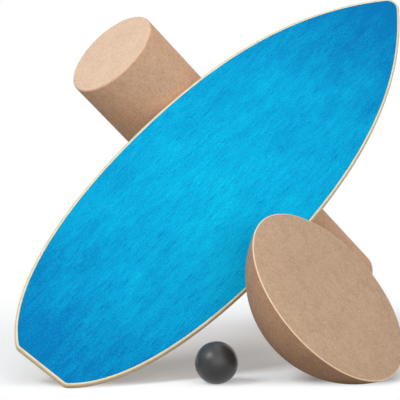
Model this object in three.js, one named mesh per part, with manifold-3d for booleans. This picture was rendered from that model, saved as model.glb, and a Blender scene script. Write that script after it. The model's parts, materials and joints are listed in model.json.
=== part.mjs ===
// Rola bola set: a surf-shaped plywood balance board, a cork roller, a cork half-ball and a small
// rubber ball. The board stands on a corner of its tail and leans back on the roller, the half-ball
// leans on the board's lower rail and the small ball stands in front. Millimetres, +Z up.
import * as THREE from 'three';
import { mergeVertices } from 'three/addons/utils/BufferGeometryUtils.js';
import Module from 'manifold-3d';

const wasm = await Module();
wasm.setup();

// Board: outline
const boardLength = 852;
const boardWidth = 286;
const widestFromTail = 377;
const tailEdgeWidth = 78;
const tailCornerRadius = 14;
const noseRadius = 18;
const tailCornerTurn = THREE.MathUtils.degToRad(41);
const noseTurn = THREE.MathUtils.degToRad(51);
const tailRailShare = 0.42;
const tailCornerShare = 0.24;
const noseRailShare = 0.35;
const noseTipShare = 0.35;

// Board: veneers pressed crosswise, with a glue line between each pair
const veneerCount = 7;
const veneerThickness = 1.2;
const glueLine = 0.3;
const edgeRadius = 3;

// Stop battens screwed to the underside, which keep the roller under the board
const battenLength = 160;
const battenWidth = 24;
const battenHeight = 13;
const battenCornerRadius = 4;
const tailBattenFromTail = 150;
const noseBattenFromNose = 150;
const battenSeatGap = 0.3;

// Countersunk wood screws
const screwsPerBatten = 3;
const screwFromBattenEnd = 20;
const screwGrip = 6.7;
const screwShankRadius = 1.9;
const screwHeadRadius = 4;
const screwHeadDepth = 2.6;
const screwPointLength = 4;
const screwRecessWidth = 1.1;
const screwRecessReach = 2.1;
const screwRecessDepth = 1.4;
const screwClearance = 0.3;

// Cork roller
const rollerDiameter = 150;
const rollerLength = 595;
const rollerEdgeRadius = 3;

// Cork half-ball: a flat face over a shallow spherical cap
const domeDiameter = 284;
const domeHeight = 101;
const domeRimBevel = 1.5;

// Small ball
const ballDiameter = 60;

// How the set stands: the turns of its pieces, and their places on the floor as shares of how far
// the board reaches to the right of the corner that it stands on
const boardTurn = THREE.MathUtils.degToRad(9);
const boardLean = THREE.MathUtils.degToRad(35.7);
const boardRoll = THREE.MathUtils.degToRad(46.3);
const rollerHeading = THREE.MathUtils.degToRad(-144.1);
const rollerRise = THREE.MathUtils.degToRad(41.9);
const rollerEndShare = 0.823;
const domeHeading = THREE.MathUtils.degToRad(-34.6);
const domeRise = THREE.MathUtils.degToRad(39);
const domeCentreShare = 0.8;
const ballAcrossShare = 0.414;
const ballBackShare = 0.063;
const leaningGap = 0.3;

// Facets
const railSteps = 14;
const cornerSteps = 4;
const contactSteps = 6;
const roundSteps = 64;
const rimSteps = 3;
const capSteps = 13;
const ballRings = 18;
const screwSides = 16;

const boardThickness = veneerCount * veneerThickness + (veneerCount - 1) * glueLine;
const screwLength = battenHeight + battenSeatGap + screwGrip;
const screwSpacing = (battenLength - 2 * screwFromBattenEnd) / (screwsPerBatten - 1);
const quarterTurn = Math.PI / 2;

function finish(color, roughness, metalness = 0) {
  return new THREE.MeshStandardMaterial({ color, roughness, metalness });
}

function part(name, geometry, material) {
  const mesh = new THREE.Mesh(geometry, material);
  mesh.name = name;
  return mesh;
}

function toSolid(geometry) {
  const bare = geometry.clone();
  bare.deleteAttribute('normal');
  bare.deleteAttribute('uv');
  const merged = mergeVertices(bare);
  const vertProperties = new Float32Array(merged.attributes.position.array);
  const triVerts = new Uint32Array(merged.index.array);
  return new wasm.Manifold(new wasm.Mesh({ numProp: 3, vertProperties, triVerts }));
}

function toGeometry(solid) {
  const mesh = solid.getMesh();
  const geometry = new THREE.BufferGeometry();
  geometry.setAttribute('position', new THREE.BufferAttribute(mesh.vertProperties, 3));
  geometry.setIndex(new THREE.BufferAttribute(mesh.triVerts, 1));
  geometry.computeVertexNormals();
  return geometry;
}

function cutAway(geometry, cutters) {
  let solid = toSolid(geometry);
  for (const cutter of cutters) {
    solid = solid.subtract(toSolid(cutter));
  }
  return toGeometry(solid);
}

// The board's outline, seen on its deck: x runs from tail to nose and y from rail to rail.
// Half of it is drawn from the middle of the tail round to the nose, then mirrored.
function boardOutline() {
  const halfTail = tailEdgeWidth / 2;
  const cornerEnd = new THREE.Vector2(
    tailCornerRadius - tailCornerRadius * Math.cos(tailCornerTurn),
    halfTail + tailCornerRadius * Math.sin(tailCornerTurn),
  );
  const widest = new THREE.Vector2(widestFromTail, boardWidth / 2);
  const tipStart = new THREE.Vector2(
    boardLength - noseRadius + noseRadius * Math.cos(noseTurn),
    noseRadius * Math.sin(noseTurn),
  );
  const tailStretch = widestFromTail;
  const noseStretch = boardLength - widestFromTail;
  const tailHandle = tailStretch * tailCornerShare;
  const tipHandle = noseStretch * noseTipShare;
  const tailRail = new THREE.CubicBezierCurve(
    cornerEnd,
    new THREE.Vector2(
      cornerEnd.x + tailHandle * Math.sin(tailCornerTurn),
      cornerEnd.y + tailHandle * Math.cos(tailCornerTurn),
    ),
    new THREE.Vector2(widest.x - tailStretch * tailRailShare, widest.y),
    widest,
  );
  const noseRail = new THREE.CubicBezierCurve(
    widest,
    new THREE.Vector2(widest.x + noseStretch * noseRailShare, widest.y),
    new THREE.Vector2(
      tipStart.x - tipHandle * Math.sin(noseTurn),
      tipStart.y + tipHandle * Math.cos(noseTurn),
    ),
    tipStart,
  );
  const half = [];
  for (let step = 0; step < cornerSteps; step += 1) {
    const turn = (tailCornerTurn * step) / cornerSteps;
    half.push(new THREE.Vector2(
      tailCornerRadius - tailCornerRadius * Math.cos(turn),
      halfTail + tailCornerRadius * Math.sin(turn),
    ));
  }
  half.push(...tailRail.getPoints(railSteps).slice(0, -1));
  half.push(...noseRail.getPoints(railSteps).slice(0, -1));
  for (let step = cornerSteps; step > 0; step -= 1) {
    const turn = (noseTurn * step) / cornerSteps;
    half.push(new THREE.Vector2(
      boardLength - noseRadius + noseRadius * Math.cos(turn),
      noseRadius * Math.sin(turn),
    ));
  }
  const mirrored = half.map((point) => new THREE.Vector2(point.x, -point.y));
  return [...mirrored, new THREE.Vector2(boardLength, 0), ...half.reverse()];
}

// Each point of a closed outline, which runs counter-clockwise, moved inwards by the same distance.
function insetOutline(outline, distance) {
  const count = outline.length;
  return outline.map((point, index) => {
    const before = outline[(index + count - 1) % count];
    const after = outline[(index + 1) % count];
    const along = after.clone().sub(before).normalize();
    return new THREE.Vector2(point.x - along.y * distance, point.y + along.x * distance);
  });
}

// How far the rounded edge has drawn in at a height above the board's underside.
function edgeInset(height) {
  const depth = Math.min(height, boardThickness - height);
  if (depth >= edgeRadius) {
    return 0;
  }
  const rest = edgeRadius - Math.max(depth, 0);
  return edgeRadius - Math.sqrt(edgeRadius ** 2 - rest ** 2);
}

// A closed plate between two heights whose rim follows the board's rounded edge.
function veneerGeometry(outline, low, high) {
  const heights = [low];
  for (let step = 1; step < rimSteps; step += 1) {
    const share = step / rimSteps;
    const height = low + (high - low) * share;
    if (edgeInset(height) > 0) {
      heights.push(height);
    }
  }
  heights.push(high);
  const count = outline.length;
  const positions = [];
  for (const height of heights) {
    for (const point of insetOutline(outline, edgeInset(height))) {
      positions.push(point.x, point.y, height);
    }
  }
  const indices = [];
  for (let ring = 0; ring < heights.length - 1; ring += 1) {
    for (let side = 0; side < count; side += 1) {
      const next = (side + 1) % count;
      const a = ring * count + side;
      const b = ring * count + next;
      const c = a + count;
      const d = b + count;
      indices.push(a, b, d, a, d, c);
    }
  }
  const top = (heights.length - 1) * count;
  for (const [a, b, c] of THREE.ShapeUtils.triangulateShape(outline, [])) {
    indices.push(top + a, top + b, top + c);
    indices.push(a, c, b);
  }
  const geometry = new THREE.BufferGeometry();
  geometry.setAttribute('position', new THREE.Float32BufferAttribute(positions, 3));
  geometry.setIndex(indices);
  geometry.computeVertexNormals();
  return geometry;
}

// A turned solid whose axis is X: the profile's points are (radius, place along the axis).
function turned(profile, sides) {
  const points = profile.map(([radius, along]) => new THREE.Vector2(radius, along));
  return new THREE.LatheGeometry(points, sides).rotateZ(-quarterTurn);
}

// Points of a rounded corner, from one direction to another round a centre.
function roundedCorner(centreRadius, centreAlong, radius, fromTurn, toTurn) {
  const points = [];
  for (let step = 0; step <= rimSteps; step += 1) {
    const turn = fromTurn + ((toTurn - fromTurn) * step) / rimSteps;
    points.push([centreRadius + radius * Math.cos(turn), centreAlong + radius * Math.sin(turn)]);
  }
  return points;
}

function rollerGeometry() {
  const radius = rollerDiameter / 2;
  const inner = radius - rollerEdgeRadius;
  return turned([
    [0, -rollerLength],
    ...roundedCorner(inner, rollerEdgeRadius - rollerLength, rollerEdgeRadius, -quarterTurn, 0),
    ...roundedCorner(inner, -rollerEdgeRadius, rollerEdgeRadius, 0, quarterTurn),
    [0, 0],
  ], roundSteps);
}

// The sphere that the half-ball's round side is a cap of
const domeFaceRadius = domeDiameter / 2;
const domeSphereRadius = (domeFaceRadius ** 2 + domeHeight ** 2) / (2 * domeHeight);
const domeFaceFromCentre = domeHeight - domeSphereRadius;

// The half-ball about its sphere's centre, with its face towards +X.
function domeGeometry() {
  const faceTurn = Math.asin(domeFaceFromCentre / domeSphereRadius);
  const rimInset = domeRimBevel / domeSphereRadius;
  const profile = [[0, -domeSphereRadius]];
  for (let step = 1; step <= capSteps; step += 1) {
    const turn = -quarterTurn + ((faceTurn - rimInset + quarterTurn) * step) / capSteps;
    profile.push([domeSphereRadius * Math.cos(turn), domeSphereRadius * Math.sin(turn)]);
  }
  profile.push([domeFaceRadius - domeRimBevel, domeFaceFromCentre]);
  profile.push([0, domeFaceFromCentre]);
  return turned(profile, roundSteps);
}

function battenGeometry() {
  const halfLength = battenLength / 2;
  const halfWidth = battenWidth / 2;
  const radius = battenCornerRadius;
  const plan = new THREE.Shape();
  plan.moveTo(-halfWidth + radius, -halfLength);
  plan.lineTo(halfWidth - radius, -halfLength);
  plan.absarc(halfWidth - radius, radius - halfLength, radius, -quarterTurn, 0, false);
  plan.lineTo(halfWidth, halfLength - radius);
  plan.absarc(halfWidth - radius, halfLength - radius, radius, 0, quarterTurn, false);
  plan.lineTo(radius - halfWidth, halfLength);
  plan.absarc(radius - halfWidth, halfLength - radius, radius, quarterTurn, Math.PI, false);
  plan.lineTo(-halfWidth, radius - halfLength);
  plan.absarc(radius - halfWidth, radius - halfLength, radius, Math.PI, 3 * quarterTurn, false);
  const settings = { depth: battenHeight, bevelEnabled: false, curveSegments: cornerSteps };
  return new THREE.ExtrudeGeometry(plan, settings);
}

// A screw along +X with its flat head at zero; a grown copy of it cuts the hole that it sits in.
function screwProfile(grow) {
  return [
    [0, -grow],
    [screwHeadRadius + grow, -grow],
    [screwHeadRadius + grow, 0],
    [screwShankRadius + grow, screwHeadDepth],
    [screwShankRadius + grow, screwLength - screwPointLength],
    [0, screwLength + grow],
  ];
}

function screwGeometry() {
  const blank = turned([[0, 0], ...screwProfile(0).slice(2)], screwSides);
  const slot = new THREE.BoxGeometry(2 * screwRecessDepth, 2 * screwRecessReach, screwRecessWidth);
  const cross = slot.clone().rotateX(quarterTurn);
  return cutAway(blank, [slot, cross]);
}

// The places of the battens and their screws, in the board's own frame
const battenTop = -battenSeatGap;
const battenPlaces = [
  ['tail', tailBattenFromTail],
  ['nose', boardLength - noseBattenFromNose],
];
const screwOffsets = [];
for (let index = 0; index < screwsPerBatten; index += 1) {
  screwOffsets.push((index - (screwsPerBatten - 1) / 2) * screwSpacing);
}

// Turned so that a screw's head lies flush in the batten's outer face and it points at the deck.
function placedScrew(geometry, x, y) {
  return geometry.rotateY(-quarterTurn).translate(x, y, battenTop - battenHeight);
}

function screwHoles() {
  const holes = [];
  for (const [, x] of battenPlaces) {
    for (const y of screwOffsets) {
      holes.push(placedScrew(turned(screwProfile(screwClearance), screwSides), x, y));
    }
  }
  return holes;
}

function veneers() {
  const deckBlue = finish(0x12b5e1, 0.62);
  const birch = finish(0xe6dab7, 0.65);
  const crossBirch = finish(0xd7af78, 0.7);
  const outline = boardOutline();
  const holes = screwHoles();
  const meshes = [];
  for (let index = 0; index < veneerCount; index += 1) {
    const low = index * (veneerThickness + glueLine);
    const high = low + veneerThickness;
    const top = index === veneerCount - 1;
    const name = top ? 'deck_veneer' : index === 0 ? 'back_veneer' : `core_veneer_${index}`;
    const material = top ? deckBlue : index % 2 === 0 ? birch : crossBirch;
    const reached = high > 0 && low < screwLength + screwClearance + battenTop - battenHeight;
    const plate = veneerGeometry(outline, low, high);
    meshes.push(part(name, reached ? cutAway(plate, holes) : plate, material));
  }
  return meshes;
}

function battens() {
  const beech = finish(0xc99a63, 0.55);
  const steel = finish(0x8d8f92, 0.35, 1);
  const meshes = [];
  for (const [end, x] of battenPlaces) {
    const block = battenGeometry().translate(x, 0, battenTop - battenHeight);
    meshes.push(part(`${end}_stop_batten`, cutAway(block, screwHoles()), beech));
    screwOffsets.forEach((y, index) => {
      const screw = placedScrew(screwGeometry(), x, y);
      meshes.push(part(`${end}_stop_screw_${index + 1}`, screw, steel));
    });
  }
  return meshes;
}

// All the vertices of a placed object's meshes, in the outer frame.
function vertices(object) {
  object.updateMatrixWorld(true);
  const points = [];
  object.traverse((child) => {
    if (child.isMesh) {
      const places = child.geometry.attributes.position;
      for (let index = 0; index < places.count; index += 1) {
        const point = new THREE.Vector3().fromBufferAttribute(places, index);
        points.push(point.applyMatrix4(child.matrixWorld));
      }
    }
  });
  return points;
}

function lowest(object) {
  return vertices(object).reduce((low, point) => (point.z < low.z ? point : low));
}

// Turned about Z, then about its own X, then about its own Z, like a board laid, tipped and rolled.
function tippedGroup(turn, tip, roll, meshes) {
  const rolled = new THREE.Group();
  rolled.rotation.z = roll;
  rolled.add(...meshes);
  const tipped = new THREE.Group();
  tipped.rotation.x = tip;
  tipped.add(rolled);
  const whole = new THREE.Group();
  whole.rotation.z = turn;
  whole.add(tipped);
  return whole;
}

// A group whose own +X points along a heading, raised from the floor.
function aimedGroup(heading, rise, mesh) {
  const raised = new THREE.Group();
  raised.rotation.y = -rise;
  raised.add(mesh);
  const whole = new THREE.Group();
  whole.rotation.z = heading;
  whole.add(raised);
  return whole;
}

function direction(heading, rise) {
  return new THREE.Vector3(
    Math.cos(heading) * Math.cos(rise),
    Math.sin(heading) * Math.cos(rise),
    Math.sin(rise),
  );
}

// Points along the board's edges, close enough together to find where another piece touches.
function boardEdgePoints(board) {
  board.updateMatrixWorld(true);
  const boardPlace = board.getObjectByName('deck_veneer').matrixWorld;
  const outline = boardOutline();
  const points = [];
  for (let index = 0; index < veneerCount; index += 1) {
    const low = index * (veneerThickness + glueLine);
    for (const height of [low, low + veneerThickness]) {
      const ring = insetOutline(outline, edgeInset(height));
      ring.forEach((start, side) => {
        const end = ring[(side + 1) % ring.length];
        for (let step = 0; step < contactSteps; step += 1) {
          const place = start.clone().lerp(end, step / contactSteps);
          points.push(new THREE.Vector3(place.x, place.y, height).applyMatrix4(boardPlace));
        }
      });
    }
  }
  return points;
}

// How far along Y a centre has to go until a point is at a given distance from it, or from the
// line through it. The side is +1 for the far solution and -1 for the near one.
function slideToTouch(point, centre, distance, side, axis) {
  const offset = point.clone().sub(centre);
  const slide = new THREE.Vector3(0, 1, 0);
  if (axis) {
    offset.addScaledVector(axis, -offset.dot(axis));
    slide.addScaledVector(axis, -slide.dot(axis));
  }
  const across = offset.dot(slide);
  const rest = across ** 2 - slide.lengthSq() * (offset.lengthSq() - distance ** 2);
  return rest < 0 ? null : (across + side * Math.sqrt(rest)) / slide.lengthSq();
}

// The board stands on its lowest corner, at the floor's zero point.
function placedBoard() {
  const tip = quarterTurn - boardLean;
  const board = tippedGroup(boardTurn, tip, boardRoll, [...veneers(), ...battens()]);
  const foot = lowest(board);
  board.position.set(-foot.x, -foot.y, -foot.z);
  return board;
}

// The roller stands on its lower rim behind the board, pushed forward until it meets the rail.
function placedRoller(reach, edgePoints) {
  const cork = finish(0xb99775, 0.85);
  const roller = aimedGroup(rollerHeading, rollerRise, part('cork_roller', rollerGeometry(), cork));
  const axis = direction(rollerHeading, rollerRise);
  const foot = lowest(roller);
  roller.position.set(reach * rollerEndShare + axis.x * rollerLength, 0, -foot.z);
  const apart = rollerDiameter / 2 + leaningGap;
  const slides = edgePoints.map((point) => {
    const slide = slideToTouch(point, roller.position, apart, 1, axis);
    if (slide === null) {
      return -Infinity;
    }
    const along = point.clone().sub(roller.position).dot(axis) - slide * axis.y;
    return along <= 0 && along >= -rollerLength ? slide : -Infinity;
  });
  roller.position.y = Math.max(...slides);
  return roller;
}

// The half-ball lies on its round side before the board, pushed back until it meets the rail.
function placedDome(reach, edgePoints) {
  const cork = finish(0xbd9f84, 0.85);
  const dome = aimedGroup(domeHeading, domeRise, part('cork_dome', domeGeometry(), cork));
  const facing = direction(domeHeading, domeRise);
  const foot = lowest(dome);
  dome.position.set(reach * domeCentreShare, 0, -foot.z);
  const apart = domeSphereRadius + leaningGap;
  const slides = edgePoints.map((point) => {
    const slide = slideToTouch(point, dome.position, apart, -1);
    if (slide === null) {
      return Infinity;
    }
    const above = point.clone().sub(dome.position).dot(facing) - slide * facing.y;
    return above <= domeFaceFromCentre ? slide : Infinity;
  });
  dome.position.y = Math.min(...slides);
  return dome;
}

// The small ball lies on the floor by itself, before the board's lower rail.
function placedBall(reach) {
  const rubber = finish(0x343538, 0.6);
  const radius = ballDiameter / 2;
  const shape = new THREE.SphereGeometry(radius, 2 * ballRings, ballRings).rotateX(quarterTurn);
  const ball = part('massage_ball', shape, rubber);
  ball.position.set(reach * ballAcrossShare, reach * ballBackShare, radius);
  return ball;
}

// The whole set, with the middle of the floor that it covers at the origin.
function buildSet() {
  const board = placedBoard();
  const edgePoints = boardEdgePoints(board);
  const reach = Math.max(...vertices(board).map((point) => point.x));
  const set = new THREE.Group();
  set.add(board, placedRoller(reach, edgePoints), placedDome(reach, edgePoints), placedBall(reach));
  const middle = new THREE.Box3().setFromPoints(vertices(set)).getCenter(new THREE.Vector3());
  set.position.set(-middle.x, -middle.y, 0);
  return set;
}

const rolaBola = buildSet();

export default rolaBola;
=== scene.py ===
import json
import math

import bmesh
import bpy
from mathutils import Euler, Matrix, Vector


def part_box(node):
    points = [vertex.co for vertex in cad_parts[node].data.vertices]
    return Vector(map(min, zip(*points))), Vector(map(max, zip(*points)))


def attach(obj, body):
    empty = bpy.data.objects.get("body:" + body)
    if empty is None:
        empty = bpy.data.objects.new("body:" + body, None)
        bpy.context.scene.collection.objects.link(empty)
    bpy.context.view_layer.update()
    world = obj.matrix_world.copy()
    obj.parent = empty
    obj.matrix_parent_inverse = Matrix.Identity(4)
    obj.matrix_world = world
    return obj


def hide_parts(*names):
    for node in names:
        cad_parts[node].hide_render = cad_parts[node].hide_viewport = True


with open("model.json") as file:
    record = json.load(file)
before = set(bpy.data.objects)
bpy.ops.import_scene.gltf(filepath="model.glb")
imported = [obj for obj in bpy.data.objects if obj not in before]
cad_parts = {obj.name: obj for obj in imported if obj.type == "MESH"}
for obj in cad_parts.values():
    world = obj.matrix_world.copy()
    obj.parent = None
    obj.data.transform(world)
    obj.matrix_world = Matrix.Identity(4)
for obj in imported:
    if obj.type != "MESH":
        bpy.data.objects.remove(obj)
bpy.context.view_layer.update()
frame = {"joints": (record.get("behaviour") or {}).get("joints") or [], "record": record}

# The camera stands at knee height, a few steps before the pile, and looks a little down through a
# long lens, so the board's deck, the roller's end and the half-ball's face all show.
camera_place = Vector((-0.02683, -3.0896, 0.5302))
camera_dip = math.radians(5.5156)
camera_lens = 185.4
camera_sensor = 36.0


def new_object(name, data):
    made = bpy.data.objects.new(name, data)
    bpy.context.scene.collection.objects.link(made)
    return made


camera_data = bpy.data.cameras.new("camera")
camera_data.lens = camera_lens
camera_data.sensor_width = camera_sensor
camera_data.clip_start = 0.05
camera_data.clip_end = 200.0
camera = new_object("camera", camera_data)
camera.location = camera_place
camera.rotation_euler = (math.radians(90) - camera_dip, 0, 0)
bpy.context.scene.camera = camera


# The board is a plywood panel, pressed from seven birch veneers and cut to a surf outline with a
# square tail. The six under the deck come first: every other one has its grain across the board,
# so its end grain shows darker on the sanded, rounded edge, and hair-thin glue lines part them.
board_length = 0.852
board_width = 0.286
widest_from_tail = 0.377
tail_edge_width = 0.078
tail_corner_radius = 0.014
nose_radius = 0.018
tail_corner_turn = math.radians(41)
nose_turn = math.radians(51)
tail_rail_share = 0.42
tail_corner_share = 0.24
nose_rail_share = 0.35
nose_tip_share = 0.35
rail_steps = 56
corner_steps = 10
edge_radius = 0.003
veneer_count = 7
edge_steps = 8
panel_thickness = 0.0102
glue_line = 0.00012
veneer_crease = math.radians(30)
board_turn = math.radians(9)
board_lean = math.radians(35.7)
board_roll = math.radians(46.3)


def bezier(start, first, second, end, steps):
    """Points along a cubic curve, from its start to just before its end."""
    points = []
    for step in range(steps):
        t = step / steps
        u = 1 - t
        points.append(u**3 * start + 3 * u * u * t * first + 3 * u * t * t * second + t**3 * end)
    return points


def tail_corner(turn):
    """The point on the tail's round corner where the outline has turned this far."""
    return Vector((
        tail_corner_radius * (1 - math.cos(turn)),
        tail_edge_width / 2 + tail_corner_radius * math.sin(turn),
    ))


def board_outline():
    """The outline seen on the deck, from tail to nose along x, counter-clockwise."""
    corner_end = tail_corner(tail_corner_turn)
    widest = Vector((widest_from_tail, board_width / 2))
    tip_centre = Vector((board_length - nose_radius, 0))
    tip_start = tip_centre + nose_radius * Vector((math.cos(nose_turn), math.sin(nose_turn)))
    tail_stretch = widest_from_tail
    nose_stretch = board_length - widest_from_tail
    leaving_tail = Vector((math.sin(tail_corner_turn), math.cos(tail_corner_turn)))
    leaving_tip = Vector((-math.sin(nose_turn), math.cos(nose_turn)))
    half = [tail_corner(tail_corner_turn * step / corner_steps) for step in range(corner_steps)]
    half += bezier(
        corner_end,
        corner_end + tail_stretch * tail_corner_share * leaving_tail,
        widest - Vector((tail_stretch * tail_rail_share, 0)),
        widest,
        rail_steps,
    )
    half += bezier(
        widest,
        widest + Vector((nose_stretch * nose_rail_share, 0)),
        tip_start + nose_stretch * nose_tip_share * leaving_tip,
        tip_start,
        rail_steps,
    )
    for step in range(corner_steps):
        turn = nose_turn * (1 - step / corner_steps)
        half.append(tip_centre + nose_radius * Vector((math.cos(turn), math.sin(turn))))
    mirrored = [Vector((point.x, -point.y)) for point in half]
    return mirrored + [Vector((board_length, 0))] + half[::-1]


def edge_inset(height):
    """How far the rounded edge has drawn in at a height above the panel's underside."""
    rest = edge_radius - max(0.0, min(height, panel_thickness - height))
    if rest <= 0:
        return 0.0
    return edge_radius - math.sqrt(edge_radius**2 - rest**2)


def inset_ring(height, inset):
    """The outline drawn in by an inset, at a height above the panel's underside."""
    ring = []
    for index, point in enumerate(outline):
        along = (outline[(index + 1) % len(outline)] - outline[index - 1]).normalized()
        ring.append(Vector((point.x - inset * along.y, point.y + inset * along.x, height)))
    return ring


def veneer_rings(low, high):
    """A veneer's outline at its heights: two on the straight edge, more where it is rounded."""
    heights = [low + (high - low) * step / edge_steps for step in range(edge_steps + 1)]
    if edge_inset(low) == 0 and edge_inset(high) == 0:
        heights = [low, high]
    return [inset_ring(height, edge_inset(height)) for height in heights]


def veneer_mesh(name, rings):
    """A plate through its rings, from the underside up: slot 0 is its two faces, slot 1 the rest."""
    count = len(outline)
    points = [point for ring in rings for point in ring]
    faces = [list(range(count))[::-1]]
    for base in range(0, count * (len(rings) - 1), count):
        for side in range(count):
            after = (side + 1) % count
            faces.append([base + side, base + after, base + count + after, base + count + side])
    faces.append(list(range(len(points) - count, len(points))))
    mesh = bpy.data.meshes.new(name)
    mesh.from_pydata(points, [], faces)
    for polygon in mesh.polygons:
        rim = polygon.loop_total == 4
        polygon.material_index = int(rim)
        polygon.use_smooth = rim
    mesh.set_sharp_from_angle(angle=veneer_crease)
    return mesh


def box_middle(points):
    """The middle of the box round some points."""
    low = Vector(min(point[axis] for point in points) for axis in range(3))
    high = Vector(max(point[axis] for point in points) for axis in range(3))
    return (low + high) / 2


def add_piece(name, mesh, place, body, slot, *nodes):
    """Puts a mesh where it belongs, as an object at the origin that rides on its body."""
    mesh.transform(place)
    piece = new_object(name, mesh)
    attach(piece, body)
    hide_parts(*nodes)
    return piece


outline = board_outline()
veneer_pitch = (panel_thickness + glue_line) / veneer_count
veneer_thickness = veneer_pitch - glue_line
outer_rings = (veneer_rings(0, veneer_thickness)
               + veneer_rings(panel_thickness - veneer_thickness, panel_thickness))
board_turned = (
    Matrix.Rotation(board_turn, 4, "Z")
    @ Matrix.Rotation(math.radians(90) - board_lean, 4, "X")
    @ Matrix.Rotation(board_roll, 4, "Z")
)
panel_middle = box_middle([board_turned @ point for ring in outer_rings for point in ring])
panel_corners = [corner for node in ("deck_veneer", "back_veneer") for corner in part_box(node)]
board_place = Matrix.Translation(box_middle(panel_corners) - panel_middle) @ board_turned


class Value:
    """A node's output on which sums and products add Math nodes."""

    def __init__(self, nodes, socket):
        self.nodes = nodes
        self.socket = socket

    def maths(self, operation, first, second=0.0):
        settings = {"operation": operation}
        return self.nodes.node("ShaderNodeMath", settings, {0: first, 1: second})["Value"]

    def __add__(self, other):
        return self.maths("ADD", self, other)

    def __radd__(self, other):
        return self.maths("ADD", other, self)

    def __sub__(self, other):
        return self.maths("SUBTRACT", self, other)

    def __rsub__(self, other):
        return self.maths("SUBTRACT", other, self)

    def __mul__(self, other):
        return self.maths("MULTIPLY", self, other)

    def __rmul__(self, other):
        return self.maths("MULTIPLY", other, self)

    def __truediv__(self, other):
        return self.maths("DIVIDE", self, other)

    def __pow__(self, other):
        return self.maths("POWER", self, other)

    def swing(self, weight):
        """A pattern from 0 to 1 as a change of this weight, up and down."""
        return (self - 0.5) * weight

    def absolute(self):
        return self.maths("ABSOLUTE", self)

    def whole(self):
        return self.maths("FLOOR", self)


class Nodes:
    """A node tree whose nodes all come from one method."""

    def __init__(self, tree):
        self.tree = tree

    def node(self, kind, settings, sockets):
        made = self.tree.nodes.new(kind)
        for name, value in settings.items():
            if name == "stops":
                while len(made.color_ramp.elements) < len(value):
                    made.color_ramp.elements.new(0.5)
                for element, (position, color) in zip(made.color_ramp.elements, value):
                    element.position = position
                    element.color = (*color, 1.0)
            else:
                setattr(made, name, value)
        for name, value in sockets.items():
            for item in value if isinstance(value, list) else [value]:
                self.plug(made.inputs[name], item)
        return {output.name: Value(self, output) for output in made.outputs if output.enabled}

    def plug(self, socket, value):
        if isinstance(value, Value):
            self.tree.links.new(value.socket, socket)
        elif socket.type == "RGBA":
            socket.default_value = (*value, 1.0)
        else:
            socket.default_value = value


class Finish(Nodes):
    """A material whose pattern lies in a piece's own frame, with scales in waves per metre."""

    def __init__(self, name, place):
        self.material = bpy.data.materials.new(name)
        self.material.use_nodes = True
        super().__init__(self.material.node_tree)
        self.shader = self.tree.nodes["Principled BSDF"]
        row_point = self.node("ShaderNodeTexCoord", {}, {})["Object"]
        # A texture mapping undoes the place, which leaves points in the piece's own frame.
        self.point = self.node("ShaderNodeMapping", {"vector_type": "TEXTURE"}, {
            "Vector": row_point,
            "Location": place.to_translation(),
            "Rotation": place.to_euler(),
        })["Vector"]
        self.axes = self.node("ShaderNodeSeparateXYZ", {}, {"Vector": self.point})

    def stretched(self, scales, shift=(0.0, 0.0, 0.0), point=None):
        return self.node("ShaderNodeMapping", {"vector_type": "POINT"}, {
            "Vector": point or self.point, "Scale": scales, "Location": shift,
        })["Vector"]

    def noise(self, scales, detail, roughness=0.5, shift=(0.0, 0.0, 0.0), point=None):
        return self.node("ShaderNodeTexNoise", {}, {
            "Vector": self.stretched(scales, shift, point), "Scale": 1.0, "Detail": detail,
            "Roughness": roughness,
        })["Fac"]

    def ramp(self, factor, stops):
        return self.node("ShaderNodeValToRGB", {"stops": stops}, {"Fac": factor})["Color"]

    def window(self, value, low, high, low_result=0.0, high_result=1.0):
        return self.node("ShaderNodeMapRange", {"interpolation_type": "SMOOTHSTEP"}, {
            "Value": value, "From Min": low, "From Max": high,
            "To Min": low_result, "To Max": high_result,
        })["Result"]

    def blend(self, factor, first, second):
        return self.node("ShaderNodeMix", {"data_type": "RGBA"}, {
            0: factor, 6: first, 7: second,
        })["Result"]

    def bump(self, height, depth):
        return self.node("ShaderNodeBump", {}, {
            "Strength": 1.0, "Distance": depth, "Height": height,
        })["Normal"]

    def surface(self, **inputs):
        for name, value in inputs.items():
            self.plug(self.shader.inputs[name.replace("_", " ")], value)
        return self.material


def birch_face(name):
    """Rotary-cut birch along the board: flowing bands, short dark pores, satin from sanding."""
    finish = Finish(name, board_place)
    wander = finish.noise((3.0, 9.0, 1.0), 2.0, 0.5)
    sway = finish.node("ShaderNodeCombineXYZ", {}, {"Y": wander.swing(0.09)})["Vector"]
    flowing = finish.node("ShaderNodeVectorMath", {"operation": "ADD"}, {0: finish.point, 1: sway})
    bands = finish.noise((2.5, 85.0, 1.0), 4.0, 0.6, point=flowing["Vector"])
    fibres = finish.noise((30.0, 1100.0, 1.0), 2.0, 0.6)
    pores = finish.window(finish.noise((110.0, 1500.0, 1.0), 1.0), 0.62, 0.72)
    tone = bands.swing(1.5) + fibres.swing(0.6) + 0.5
    color = finish.ramp(tone, [(0.15, (0.71, 0.52, 0.33)), (0.85, (0.90, 0.74, 0.53))])
    color = finish.blend(pores * 0.45, color, (0.38, 0.24, 0.12))
    return finish.surface(
        Base_Color=color,
        Roughness=finish.window(fibres, 0.3, 0.7, 0.5, 0.62),
        Specular_IOR_Level=0.3,
        Normal=finish.bump(fibres * 0.6 - pores, 0.00006),
    )


def birch_edge(name, pale, deep, along, through):
    """A veneer's sanded edge: the figure runs along it, or stands across it as end grain."""
    finish = Finish(name, board_place)
    figure = finish.noise((along, along, through), 3.0, 0.6)
    scorch = finish.noise((14.0, 14.0, 3.0), 2.0)
    tone = figure.swing(1.1) + scorch.swing(0.8) + 0.5
    return finish.surface(
        Base_Color=finish.ramp(tone, [(0.2, deep), (0.8, pale)]),
        Roughness=0.62,
        Specular_IOR_Level=0.2,
        Normal=finish.bump(figure, 0.00008),
    )


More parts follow.
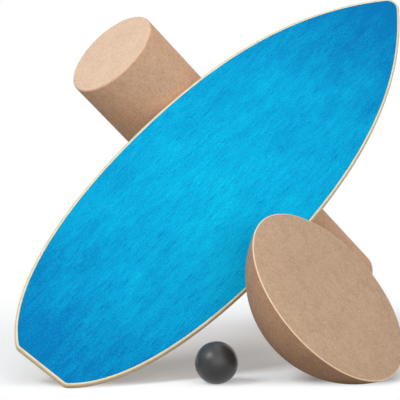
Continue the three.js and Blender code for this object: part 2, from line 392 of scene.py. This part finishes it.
veneer_face = birch_face("birch_face")
long_edge = birch_edge("birch_long_edge", pale=(0.92, 0.80, 0.55), deep=(0.78, 0.63, 0.40),
                       along=90.0, through=900.0)
cross_edge = birch_edge("birch_end_grain", pale=(0.82, 0.66, 0.43), deep=(0.64, 0.47, 0.28),
                        along=1400.0, through=300.0)

for index in range(veneer_count - 1):
    crosswise = index % 2 == 1
    node = "back_veneer" if index == 0 else f"core_veneer_{index}"
    low = index * veneer_pitch
    veneer = add_piece(f"{node}_skin", veneer_mesh(node, veneer_rings(low, low + veneer_thickness)),
                       board_place, "board", "cross_veneer" if crosswise else "long_veneer", node)
    veneer.data.materials.append(veneer_face)
    veneer.data.materials.append(cross_edge if crosswise else long_edge)


# The deck is the board's top veneer: birch stained bright blue, with the grain left to show, under
# satin varnish. The stain is sanded off in a narrow strip along the rounded edge, which stays pale.
stain_border = 0.0040
brightest_from_tail = 0.43
fade_along = 0.57
fade_towards_nose = 0.07
fade_across = 0.10
skimmed_and_lit_depth = 0.00014
sanded_and_shaded_depth = 0.00052


def stained_deck():
    """Blue that deepens towards the ends and rails from its brightest near the middle, in bands and
    streaks with the grain.
    """
    finish = Finish("stained_deck", board_place)
    along = (finish.axes["X"] - brightest_from_tail) * (2.0 / board_length)
    across = finish.axes["Y"] * (2.0 / board_width)
    deeper_off_middle = along * along * fade_along + along * fade_towards_nose + across * across * fade_across
    clouds = finish.noise((9.0, 14.0, 1.0), 2.0, 0.5)
    bands = finish.noise((14.0, 62.0, 1.0), 3.0, 0.6)
    blotches = finish.noise((48.0, 110.0, 1.0), 2.0, 0.55, (2.0, 8.0, 0.0))
    streaks = finish.noise((28.0, 400.0, 1.0), 3.0, 0.6)
    mottle = finish.noise((330.0, 430.0, 1.0), 2.0, 0.65)
    dashes = finish.window(finish.noise((42.0, 400.0, 1.0), 1.0, 0.5, (5.0, 3.0, 0.0)), 0.62, 0.74)
    tone = (
        0.505 - deeper_off_middle + clouds.swing(0.36) + bands.swing(0.36) + blotches.swing(0.24)
        + streaks.swing(0.42) + mottle.swing(0.95) - dashes * 0.28
    )
    color = finish.ramp(tone, [
        (0.0, (0.0004, 0.180, 0.458)), (0.5, (0.0010, 0.410, 0.708)), (1.0, (0.0030, 0.760, 0.908)),
    ])
    return finish.surface(
        Base_Color=color,
        Roughness=finish.window(mottle, 0.3, 0.7, 0.42, 0.55),
        Specular_IOR_Level=0.04,
        Normal=finish.bump(streaks * 0.6 + mottle * 0.4 - dashes * 0.5, 0.00008),
    )


def sanded_strip():
    """Pale where the sander has only skimmed the deck, tan with end grain further down. The change
    down the rounded edge is also painted light: painted highlight where the edge faces up, painted
    shade where it turns away.
    """
    finish = Finish("sanded_strip", board_place)
    figure = finish.noise((60.0, 60.0, 500.0), 3.0, 0.6)
    # Pale near the top of the rounded edge and tan lower down: partly the sanding, partly painted
    # highlight and painted shade.
    skimmed_and_lit = finish.window(finish.axes["Z"], panel_thickness - sanded_and_shaded_depth,
                            panel_thickness - skimmed_and_lit_depth)
    pale = finish.ramp(figure, [(0.25, (0.72, 0.62, 0.39)), (0.75, (0.86, 0.77, 0.52))])
    tan = finish.ramp(figure, [(0.25, (0.60, 0.44, 0.25)), (0.75, (0.78, 0.61, 0.38))])
    return finish.surface(
        Base_Color=finish.blend(skimmed_and_lit, tan, pale),
        Roughness=0.6,
        Specular_IOR_Level=0.2,
        Normal=finish.bump(figure, 0.00006),
    )


deck_rings = veneer_rings(panel_thickness - veneer_thickness, panel_thickness)
deck_rings.append(inset_ring(panel_thickness, stain_border))
deck = add_piece("deck", veneer_mesh("deck", deck_rings), board_place, "board", "stained_deck",
                 "deck_veneer")
deck.data.materials.append(stained_deck())
deck.data.materials.append(sanded_strip())


# Two beech stops are screwed across the underside near tail and nose. They keep the roller from
# running out from under the board: planed strips, corners rounded, edges eased, screw heads sunk.
batten_length = 0.160
batten_width = 0.024
batten_height = 0.013
batten_seat_gap = 0.0003
batten_corner = 0.004
batten_corner_steps = 8
batten_ease = 0.0012
batten_ease_steps = 4
batten_crease = math.radians(35)
batten_from_tail = 0.150
batten_from_nose = 0.150
screws_per_batten = 3
screw_from_end = 0.020
screw_head_radius = 0.004
screw_head_depth = 0.0026
screw_spacing = (batten_length - 2 * screw_from_end) / (screws_per_batten - 1)
sink_clearance = 0.0003
sink_sides = 48
weld_distance = 1e-6


def finished_mesh(source, crease):
    """The evaluated object as a plain mesh with merged doubles and outward faces."""
    bpy.context.view_layer.update()
    graph = bpy.context.evaluated_depsgraph_get()
    mesh = bpy.data.meshes.new_from_object(source.evaluated_get(graph))
    mesh.name = source.name
    bpy.data.objects.remove(source)
    shape = bmesh.new()
    shape.from_mesh(mesh)
    bmesh.ops.remove_doubles(shape, verts=shape.verts, dist=weld_distance)
    bmesh.ops.recalc_face_normals(shape, faces=shape.faces)
    for face in shape.faces:
        face.smooth = True
    shape.to_mesh(mesh)
    shape.free()
    mesh.set_sharp_from_angle(angle=crease)
    return mesh


def batten_mesh(name):
    """A planed strip: its corners rounded, its outer edges eased, and the screw sinks cut in."""
    blank = bmesh.new()
    bmesh.ops.create_cube(blank, size=1.0)
    bmesh.ops.scale(blank, vec=(batten_width, batten_length, batten_height), verts=blank.verts)
    upright = [edge for edge in blank.edges
               if abs(edge.verts[0].co.z - edge.verts[1].co.z) > batten_height / 2]
    bmesh.ops.bevel(blank, geom=upright, offset=batten_corner, segments=batten_corner_steps,
                    affect="EDGES", profile=0.5)
    outer = [edge for edge in blank.edges if all(vertex.co.z < 0 for vertex in edge.verts)]
    bmesh.ops.bevel(blank, geom=outer, offset=batten_ease, segments=batten_ease_steps,
                    affect="EDGES", profile=0.5)
    mesh = bpy.data.meshes.new(name)
    blank.to_mesh(mesh)
    blank.free()
    strip = new_object(name, mesh)
    sinks = bmesh.new()
    radius = screw_head_radius + sink_clearance
    for index in range(screws_per_batten):
        y = (index - (screws_per_batten - 1) / 2) * screw_spacing
        bmesh.ops.create_cone(
            sinks, cap_ends=True, segments=sink_sides, radius1=radius, radius2=radius / 2,
            depth=screw_head_depth * 2,
            matrix=Matrix.Translation((0, y, -batten_height / 2 + screw_head_depth)),
        )
    sink_shape = bpy.data.meshes.new("sinks")
    sinks.to_mesh(sink_shape)
    sinks.free()
    cutter = new_object("sinks", sink_shape)
    cut = strip.modifiers.new("sinks", "BOOLEAN")
    cut.operation = "DIFFERENCE"
    cut.object = cutter
    cut.solver = "EXACT"
    result = finished_mesh(strip, batten_crease)
    bpy.data.objects.remove(cutter)
    return result


def beech(name, place):
    """Oiled beech, grain along the strip, with the short dark flecks that beech has."""
    finish = Finish(name, place)
    rings = finish.noise((260.0, 14.0, 200.0), 3.0, 0.55)
    flecks = finish.window(finish.noise((1400.0, 160.0, 1400.0), 1.0), 0.58, 0.70)
    fibres = finish.noise((1800.0, 60.0, 1800.0), 2.0, 0.6)
    tone = rings.swing(1.5) + fibres.swing(0.5) + 0.5
    color = finish.ramp(tone, [(0.15, (0.40, 0.22, 0.10)), (0.85, (0.62, 0.40, 0.21))])
    color = finish.blend(flecks * 0.55, color, (0.24, 0.12, 0.05))
    return finish.surface(
        Base_Color=color,
        Roughness=finish.window(fibres, 0.3, 0.7, 0.42, 0.55),
        Specular_IOR_Level=0.3,
        Normal=finish.bump(fibres - flecks * 0.5, 0.00008),
    )


for end, along in (("tail", batten_from_tail), ("nose", board_length - batten_from_nose)):
    seat = board_place @ Matrix.Translation((along, 0, -batten_seat_gap - batten_height / 2))
    batten = add_piece(f"{end}_stop", batten_mesh(f"{end}_stop"), seat, "board", "stop_wood",
                       f"{end}_stop_batten")
    batten.data.materials.append(beech(f"{end}_beech", seat))


# Six zinc-plated countersunk wood screws, three to a stop, hold the stops to the panel. Only their
# flat heads with the crossed driver recess show, flush in the stops' outer faces.
screw_shank_radius = 0.0019
screw_length = 0.0200
screw_head_sides = 48
screw_shank_sides = 24
screw_crease = math.radians(35)
recess_width = 0.0011
recess_reach = 0.0021
recess_depth = 0.0014
head_tip_share = 0.9
second_arm_share = 0.96
stop_drop = batten_seat_gap + batten_height


class Jig(Nodes):
    """A geometry node tree with named inputs that shapes a mesh."""

    def __init__(self, name, inputs):
        super().__init__(bpy.data.node_groups.new(name, "GeometryNodeTree"))
        interface = self.tree.interface
        self.identifiers = {}
        for label, kind in inputs.items():
            made = interface.new_socket(label, in_out="INPUT", socket_type=f"NodeSocket{kind}")
            self.identifiers[label] = made.identifier
        interface.new_socket("Made", in_out="OUTPUT", socket_type="NodeSocketGeometry")
        self.given = self.node("NodeGroupInput", {}, {})

    def deliver(self, shape):
        """Ends the tree: instances made real, and the finish put on."""
        solid = self.node("GeometryNodeRealizeInstances", {}, {"Geometry": shape})["Geometry"]
        dressed = self.node("GeometryNodeSetMaterial", {}, {
            "Geometry": solid, "Material": self.given["Finish"],
        })["Geometry"]
        self.node("NodeGroupOutput", {}, {"Made": dressed})

    def make(self, mesh, crease, sizes):
        source = new_object(mesh.name, mesh)
        modifier = source.modifiers.new("jig", "NODES")
        modifier.node_group = self.tree
        for label, value in sizes.items():
            modifier[self.identifiers[label]] = value
        return finished_mesh(source, crease)


def zinc():
    """Bright zinc plate with fine scratches."""
    finish = Finish("zinc_plate", board_place)
    scratches = finish.noise((3000.0, 900.0, 900.0), 2.0)
    color = finish.ramp(scratches, [(0.3, (0.42, 0.42, 0.43)), (0.7, (0.62, 0.62, 0.60))])
    return finish.surface(
        Base_Color=color,
        Metallic=1.0,
        Roughness=finish.window(scratches, 0.3, 0.7, 0.25, 0.4),
        Normal=finish.bump(scratches, 0.00002),
    )


def screw_jig():
    """One screw, cut from a cone, a rod and a cross, repeated on a grid of points."""
    jig = Jig("screw_rows", {
        "Geometry": "Geometry", "Row distance": "Float", "Row length": "Float",
        "Screws in a row": "Int", "Head radius": "Float", "Head depth": "Float",
        "Shank radius": "Float", "Screw length": "Float", "Recess width": "Float",
        "Recess reach": "Float", "Recess depth": "Float", "Finish": "Material",
    })
    given = jig.given
    head = jig.node("GeometryNodeMeshCone", {}, {
        "Vertices": screw_head_sides, "Radius Bottom": given["Head radius"],
        "Radius Top": given["Shank radius"] * head_tip_share, "Depth": given["Head depth"],
    })["Mesh"]
    # The rod starts half way up inside the head, so that no two faces of theirs lie together.
    rod = jig.node("GeometryNodeMeshCylinder", {}, {
        "Vertices": screw_shank_sides, "Radius": given["Shank radius"],
        "Depth": given["Screw length"] - given["Head depth"] * 0.5,
    })["Mesh"]
    rise = jig.node("ShaderNodeCombineXYZ", {}, {
        "Z": (given["Screw length"] + given["Head depth"] * 0.5) * 0.5,
    })["Vector"]
    shank = jig.node("GeometryNodeTransform", {}, {"Geometry": rod, "Translation": rise})
    arm_size = jig.node("ShaderNodeCombineXYZ", {}, {
        "X": given["Recess reach"] * 2.0, "Y": given["Recess width"],
        "Z": given["Recess depth"] * 2.0,
    })["Vector"]
    arm = jig.node("GeometryNodeMeshCube", {}, {"Size": arm_size})["Mesh"]
    # The second arm is a little smaller, again so that their bottoms don't lie together.
    crossing = jig.node("GeometryNodeTransform", {}, {
        "Geometry": arm, "Rotation": Euler((0, 0, math.radians(90))),
        "Scale": (second_arm_share, 1.0, second_arm_share),
    })["Geometry"]
    whole = jig.node("GeometryNodeMeshBoolean", {"operation": "UNION"}, {
        "Mesh 2": [head, shank["Geometry"]],
    })["Mesh"]
    screw = jig.node("GeometryNodeMeshBoolean", {"operation": "DIFFERENCE"}, {
        "Mesh 1": whole, "Mesh 2": [arm, crossing],
    })["Mesh"]
    places = jig.node("GeometryNodeMeshGrid", {}, {
        "Size X": given["Row distance"], "Size Y": given["Row length"],
        "Vertices X": 2, "Vertices Y": given["Screws in a row"],
    })["Mesh"]
    jig.deliver(jig.node("GeometryNodeInstanceOnPoints", {}, {
        "Points": places, "Instance": screw,
    })["Instances"])
    return jig


screw_mesh = screw_jig().make(bpy.data.meshes.new("stop_screws"), screw_crease, {
    "Row distance": board_length - batten_from_nose - batten_from_tail,
    "Row length": screw_spacing * (screws_per_batten - 1),
    "Screws in a row": screws_per_batten,
    "Head radius": screw_head_radius,
    "Head depth": screw_head_depth,
    "Shank radius": screw_shank_radius,
    "Screw length": screw_length,
    "Recess width": recess_width,
    "Recess reach": recess_reach,
    "Recess depth": recess_depth,
    "Finish": zinc(),
})
rows_middle = (batten_from_tail + board_length - batten_from_nose) / 2
add_piece("stop_screws", screw_mesh, board_place @ Matrix.Translation((rows_middle, 0, -stop_drop)),
          "board", "screw_steel",
          *[f"{end}_stop_screw_{index + 1}" for end in ("tail", "nose")
            for index in range(screws_per_batten)])


# The roller is one solid cylinder of agglomerated cork: granules pressed with resin, turned true and
# sanded, with its rims rounded. Its end faces are given paler, less saturated shades than its side.
roller_radius = 0.075
roller_length = 0.595
roller_rim = 0.003
roller_steps = 12
roller_side_ends = 0.00075
roller_face_starts = 0.00006
roller_crease = math.radians(40)
rim_steps = 8
turned_sides = 224
quarter_turn = math.radians(90)


def lathe_jig():
    """Turns a line of points (x, radius) round the x axis and closes the seam and the poles."""
    jig = Jig("lathe", {"Profile": "Geometry", "Sides": "Int", "Finish": "Material"})
    given = jig.given
    row_length = given["Sides"] + 1.0
    points = jig.node("GeometryNodeAttributeDomainSize", {}, {"Geometry": given["Profile"]})
    blank = jig.node("GeometryNodeMeshGrid", {}, {
        "Vertices X": points["Point Count"], "Vertices Y": row_length,
    })["Mesh"]
    index = jig.node("GeometryNodeInputIndex", {}, {})["Index"]
    # Half a step keeps the whole part clear of rounding.
    ring = ((index + 0.5) / row_length).whole()
    side = index - ring * row_length
    here = jig.node("GeometryNodeInputPosition", {}, {})["Position"]
    on_profile = jig.node("GeometryNodeSampleIndex", {"data_type": "FLOAT_VECTOR"}, {
        "Geometry": given["Profile"], "Value": here, "Index": ring,
    })["Value"]
    turned = jig.node("ShaderNodeVectorRotate", {"rotation_type": "X_AXIS"}, {
        "Vector": on_profile, "Angle": side * (2 * math.pi) / given["Sides"],
    })["Vector"]
    shape = jig.node("GeometryNodeSetPosition", {}, {"Geometry": blank, "Position": turned})
    jig.deliver(jig.node("GeometryNodeMergeByDistance", {}, {
        "Geometry": shape["Geometry"], "Distance": weld_distance,
    })["Geometry"])
    return jig


lathe = lathe_jig()


def turned_mesh(name, profile, crease, finish):
    """A piece turned from its profile, points (x, radius) from one pole to the other."""
    line = bpy.data.meshes.new(name)
    count = len(profile)
    line.from_pydata([(x, radius, 0) for x, radius in profile],
                     [(point, point + 1) for point in range(count - 1)], [])
    return lathe.make(line, crease, {"Sides": turned_sides, "Finish": finish})


def rounded_rim(centre_x, centre_radius, radius, start, end):
    """Points (x, radius) of an arc between two angles, which are counted from the outward side."""
    points = []
    for step in range(rim_steps + 1):
        turn = start + (end - start) * step / rim_steps
        points.append((centre_x + radius * math.sin(turn), centre_radius + radius * math.cos(turn)))
    return points


def facing(place, axis):
    """The matrix that turns +x to an axis and moves the origin to a place."""
    turned = Vector(axis).to_track_quat("X", "Z").to_matrix().to_4x4()
    return Matrix.Translation(Vector(place)) @ turned


def cork(name, place, cut_from, cut_to, middle, side_shades, cut_shades, seed):
    """Pressed cork granules one to three millimetres across with darker bark between them. Past
    cut_from, counted both ways along the axis from its middle, the surface takes the cut shades,
    paler and less saturated than the side's."""
    finish = Finish(name, place)
    shift = (seed, seed * 0.7, seed * 0.3)
    granules = finish.node("ShaderNodeTexVoronoi", {"feature": "F1"}, {
        "Vector": finish.stretched((1.0, 1.0, 1.0), shift), "Scale": 430.0,
    })
    cell = finish.node("ShaderNodeSeparateColor", {}, {"Color": granules["Color"]})["Red"]
    dust = finish.noise((1300.0, 1300.0, 1300.0), 2.0, 0.6, shift)
    clumps = finish.noise((150.0, 150.0, 150.0), 3.0, 0.6, shift)
    patches = finish.noise((38.0, 38.0, 38.0), 2.0, 0.5, shift)
    tone = cell.swing(0.26) + dust.swing(0.22) + clumps.swing(0.26) + patches.swing(0.28) + 0.5
    stops = (0.1, 0.5, 0.9)
    side = finish.ramp(tone, list(zip(stops, side_shades)))
    flat_face_color = finish.ramp(tone, list(zip(stops, cut_shades)))
    depth = (finish.axes["X"] - middle).absolute()
    color = finish.blend(finish.window(depth, cut_from, cut_to), side, flat_face_color)
    bark = finish.window(finish.noise((520.0, 520.0, 520.0), 2.0, 0.6, shift), 0.64, 0.74)
    color = finish.blend(bark * 0.16, color, side_shades[0])
    relief = granules["Distance"] * -0.8 + dust * 0.5 + clumps * 0.8
    return finish, color, finish.window(dust, 0.3, 0.7, 0.80, 0.92), finish.bump(relief, 0.00010)


def joint(name):
    """A joint's row in the frame."""
    return next(made for made in frame["joints"] if made["name"] == name)


roll = joint("roller_roll")
roller_place = facing(roll["pos_m"], roll["axis"])
roller_profile = (
    [(-roller_length, 0), (-roller_length, roller_radius / 2)]
    + rounded_rim(roller_rim - roller_length, roller_radius - roller_rim, roller_rim,
                  -quarter_turn, 0)
    + [(-roller_length * step / roller_steps, roller_radius)
       for step in range(roller_steps - 1, 0, -1)]
    + rounded_rim(-roller_rim, roller_radius - roller_rim, roller_rim, 0, quarter_turn)
    + [(0, roller_radius / 2), (0, 0)]
)
roller_cork, color, roughness, normal = cork(
    "roller_cork", roller_place,
    cut_from=roller_length / 2 - roller_side_ends,
    cut_to=roller_length / 2 - roller_face_starts,
    middle=-roller_length / 2,
    side_shades=((0.50, 0.285, 0.177), (0.74, 0.45, 0.284), (0.87, 0.585, 0.40)),
    cut_shades=((0.60, 0.40, 0.28), (0.75, 0.547, 0.397), (0.865, 0.67, 0.505)),
    seed=0.0,
)
roller_finish = roller_cork.surface(Base_Color=color, Roughness=roughness, Normal=normal,
                                    Specular_IOR_Level=0.15)
add_piece("roller", turned_mesh("roller", roller_profile, roller_crease, roller_finish),
          roller_place, "roller", "cork", "cork_roller")


# The half-ball is turned from such cork, in darker shades than the roller's that are painted shade:
# a shallow cap of a ball with a flat face to stand on. Its rim is only just broken, and a painted
# highlight runs along it as a thin pale line.
dome_radius = 0.142
dome_height = 0.101
dome_rim = 0.0015
# Points of the broken rim, from the side up: how far below the face and inside the side, in rims.
dome_rim_curve = ((0.4, 0.25), (0.12, 0.6), (0.0, 1.0))
dome_side_ends = 0.0012
dome_face_starts = 0.0006
rim_highlight_depth = 0.00165
rim_highlight_reach = 0.0021
rim_highlight_share = 0.8
rim_highlight_color = (1.0, 0.78, 0.52)
dome_rings = 56
dome_crease = math.radians(50)
sphere_radius = (dome_radius**2 + dome_height**2) / (2 * dome_height)
face_from_centre = dome_height - sphere_radius

dome_face = next(mount for mount in frame["record"]["mounts"] if mount["name"] == "dome_face")
dome_place = facing(joint("dome_rock")["pos_m"], dome_face["axis"])
rim_turn = math.asin(face_from_centre / sphere_radius) - dome_rim / sphere_radius
dome_profile = [(-sphere_radius, 0)]
for ring in range(1, dome_rings + 1):
    turn = -quarter_turn + (rim_turn + quarter_turn) * ring / dome_rings
    dome_profile.append((sphere_radius * math.sin(turn), sphere_radius * math.cos(turn)))
dome_profile += [(face_from_centre - dome_rim * below, dome_radius - dome_rim * inside)
                 for below, inside in dome_rim_curve]
dome_profile += [(face_from_centre, dome_radius / 2), (face_from_centre, 0)]
dome_cork, color, roughness, normal = cork(
    "half_ball_cork", dome_place,
    cut_from=dome_height - dome_side_ends,
    cut_to=dome_height - dome_face_starts,
    middle=-sphere_radius,
    # Painted shade: these shades are darker than the roller's, standing in for the dimmer light on
    # the half-ball.
    side_shades=((0.32, 0.18, 0.105), (0.52, 0.295, 0.175), (0.67, 0.41, 0.26)),
    cut_shades=((0.39, 0.25, 0.16), (0.57, 0.382, 0.254), (0.73, 0.515, 0.36)),
    seed=7.0,
)
from_axis = (dome_cork.axes["Y"] ** 2.0 + dome_cork.axes["Z"] ** 2.0) ** 0.5
from_pole = dome_cork.axes["X"] + sphere_radius
# Painted highlight: a thin pale line on the broken rim, where its edge catches the light.
painted_rim_highlight = (
    dome_cork.window(from_axis, dome_radius - rim_highlight_reach, dome_radius - dome_rim)
    * dome_cork.window(from_pole, dome_height - rim_highlight_depth, dome_height - dome_side_ends)
)
dome_finish = dome_cork.surface(
    Base_Color=dome_cork.blend(painted_rim_highlight * rim_highlight_share, color, rim_highlight_color),
    Roughness=roughness,
    Normal=normal,
    Specular_IOR_Level=0.15,
)
add_piece("half_ball", turned_mesh("half_ball", dome_profile, dome_crease, dome_finish),
          dome_place, "half_ball", "cork", "cork_dome")


# The small ball is moulded from solid black rubber: matte, with a faint orange-peel skin and the
# soft gloss that the mould leaves. It lies free on the floor.
ball_radius = 0.030
ball_rings = 64
ball_crease = math.radians(60)


def black_rubber(place):
    """Black all through, with a fine skin and uneven wear."""
    finish = Finish("black_rubber", place)
    skin = finish.noise((700.0, 700.0, 700.0), 2.0, 0.5)
    wear = finish.noise((60.0, 60.0, 60.0), 3.0, 0.6)
    tone = wear.swing(0.7) + skin.swing(0.6) + 0.5
    color = finish.ramp(tone, [(0.2, (0.018, 0.018, 0.018)), (0.8, (0.034, 0.034, 0.034))])
    return finish.surface(
        Base_Color=color,
        Roughness=finish.window(wear, 0.3, 0.7, 0.40, 0.46),
        Specular_IOR_Level=0.22,
        Coat_Weight=0.50,
        Coat_Roughness=0.33,
        Normal=finish.bump(skin, 0.00010),
    )


ball_place = Matrix.Translation(Vector(joint("ball_roll")["pos_m"]))
ball_profile = [(-ball_radius, 0)]
for ring in range(1, ball_rings):
    turn = -quarter_turn + math.pi * ring / ball_rings
    ball_profile.append((ball_radius * math.sin(turn), ball_radius * math.cos(turn)))
ball_profile.append((ball_radius, 0))
add_piece("ball", turned_mesh("ball", ball_profile, ball_crease, black_rubber(ball_place)),
          ball_place, "ball", "ball_rubber", "massage_ball")


# The pile stands on a plain white floor under soft studio lamps: a key high on the left, a big fill
# in front, and weaker ones above, behind and on the right. The floor keeps the pile's shadow and
# runs out into white air.
floor_half = 30.0
floor_white = (0.865, 0.90, 0.93)
floor_bounce = (0.38, 0.38, 0.38)
floor_lift = 0.15
white_from = 0.45
white_to = 0.95
shade_forward = 0.25
front_slant = 0.06
front_white_from = 0.23
front_white_to = 0.305
air_level = 0.22
pile_middle = Vector((0.0, 0.0, 0.25))
lamp_distance = 4.0
# A disc lamp of this many watts, at that distance, lights a white surface facing it to level 1.
watts_per_level = math.pi**2 * lamp_distance**2


def seen_directly(nodes):
    """One on rays from the camera, and on those that gloss and glass send on, or else nothing."""
    path = nodes.node("ShaderNodeLightPath", {}, {})
    return path["Is Camera Ray"] + path["Is Glossy Ray"] + path["Is Transmission Ray"]


def white_floor():
    """Lit diffuse paint near the pile, which the camera sees fade into plain white further out."""
    finish = Finish("white_floor", Matrix.Identity(4))
    seen = seen_directly(finish)
    lift = finish.blend(seen, (0.0, 0.0, 0.0), (floor_lift, floor_lift, floor_lift))
    finish.surface(
        Base_Color=finish.blend(seen, floor_bounce, floor_white),
        Roughness=0.9,
        Specular_IOR_Level=0.0,
        Emission_Color=lift,
        Emission_Strength=1.0,
    )
    reach = (finish.axes["X"] ** 2.0 + (finish.axes["Y"] + shade_forward) ** 2.0) ** 0.5
    outside = finish.window(reach, white_from, white_to)
    # The white in front starts a little closer to the pile on the right.
    front = finish.axes["X"] * front_slant - finish.axes["Y"]
    ahead = finish.window(front, front_white_from, front_white_to)
    plain = 1.0 - (1.0 - outside) * (1.0 - ahead)
    glow = finish.node("ShaderNodeEmission", {}, {"Color": (1.0, 1.0, 1.0), "Strength": 1.0})
    both = finish.node("ShaderNodeMixShader", {}, {
        0: seen * plain,
        1: Value(finish, finish.shader.outputs["BSDF"]),
        2: glow["Emission"],
    })["Shader"]
    finish.plug(finish.tree.nodes["Material Output"].inputs["Surface"], both)
    return finish.material


floor_mesh = bpy.data.meshes.new("floor")
floor_mesh.from_pydata([
    (-floor_half, -floor_half, 0), (floor_half, -floor_half, 0),
    (floor_half, floor_half, 0), (-floor_half, floor_half, 0),
], [], [(0, 1, 2, 3)])
floor_mesh.materials.append(white_floor())
new_object("floor", floor_mesh)

world = bpy.data.worlds.new("studio_air")
world.use_nodes = True
bpy.context.scene.world = world
air = Nodes(world.node_tree)
dim = air.node("ShaderNodeBackground", {}, {"Color": (1.0, 1.0, 1.0), "Strength": air_level})
white = air.node("ShaderNodeBackground", {}, {"Color": (1.0, 1.0, 1.0), "Strength": 1.0})
shown = air.node("ShaderNodeMixShader", {}, {
    0: seen_directly(air), 1: dim["Background"], 2: white["Background"],
})
air.plug(air.tree.nodes["World Output"].inputs["Surface"], shown["Shader"])


def lamp(name, direction, size, level):
    """A round lamp aimed at the pile, which lights a white surface facing it to the given level."""
    data = bpy.data.lights.new(name, "AREA")
    data.shape = "DISK"
    data.size = size
    data.energy = level * watts_per_level
    made = new_object(name, data)
    made.location = pile_middle + lamp_distance * Vector(direction).normalized()
    made.rotation_euler = Vector(direction).to_track_quat("Z", "Y").to_euler()


lamp("key", direction=(-0.58, -0.48, 0.66), size=1.8, level=0.50)
lamp("fill", direction=(0.15, -0.95, 0.25), size=5.0, level=0.60)
lamp("top", direction=(0.25, -0.10, 0.95), size=4.0, level=0.24)
lamp("back", direction=(0.40, 0.85, 0.35), size=5.0, level=0.30)
lamp("side", direction=(0.88, -0.30, 0.02), size=3.0, level=0.11)

bpy.context.scene.view_settings.view_transform = "Standard"
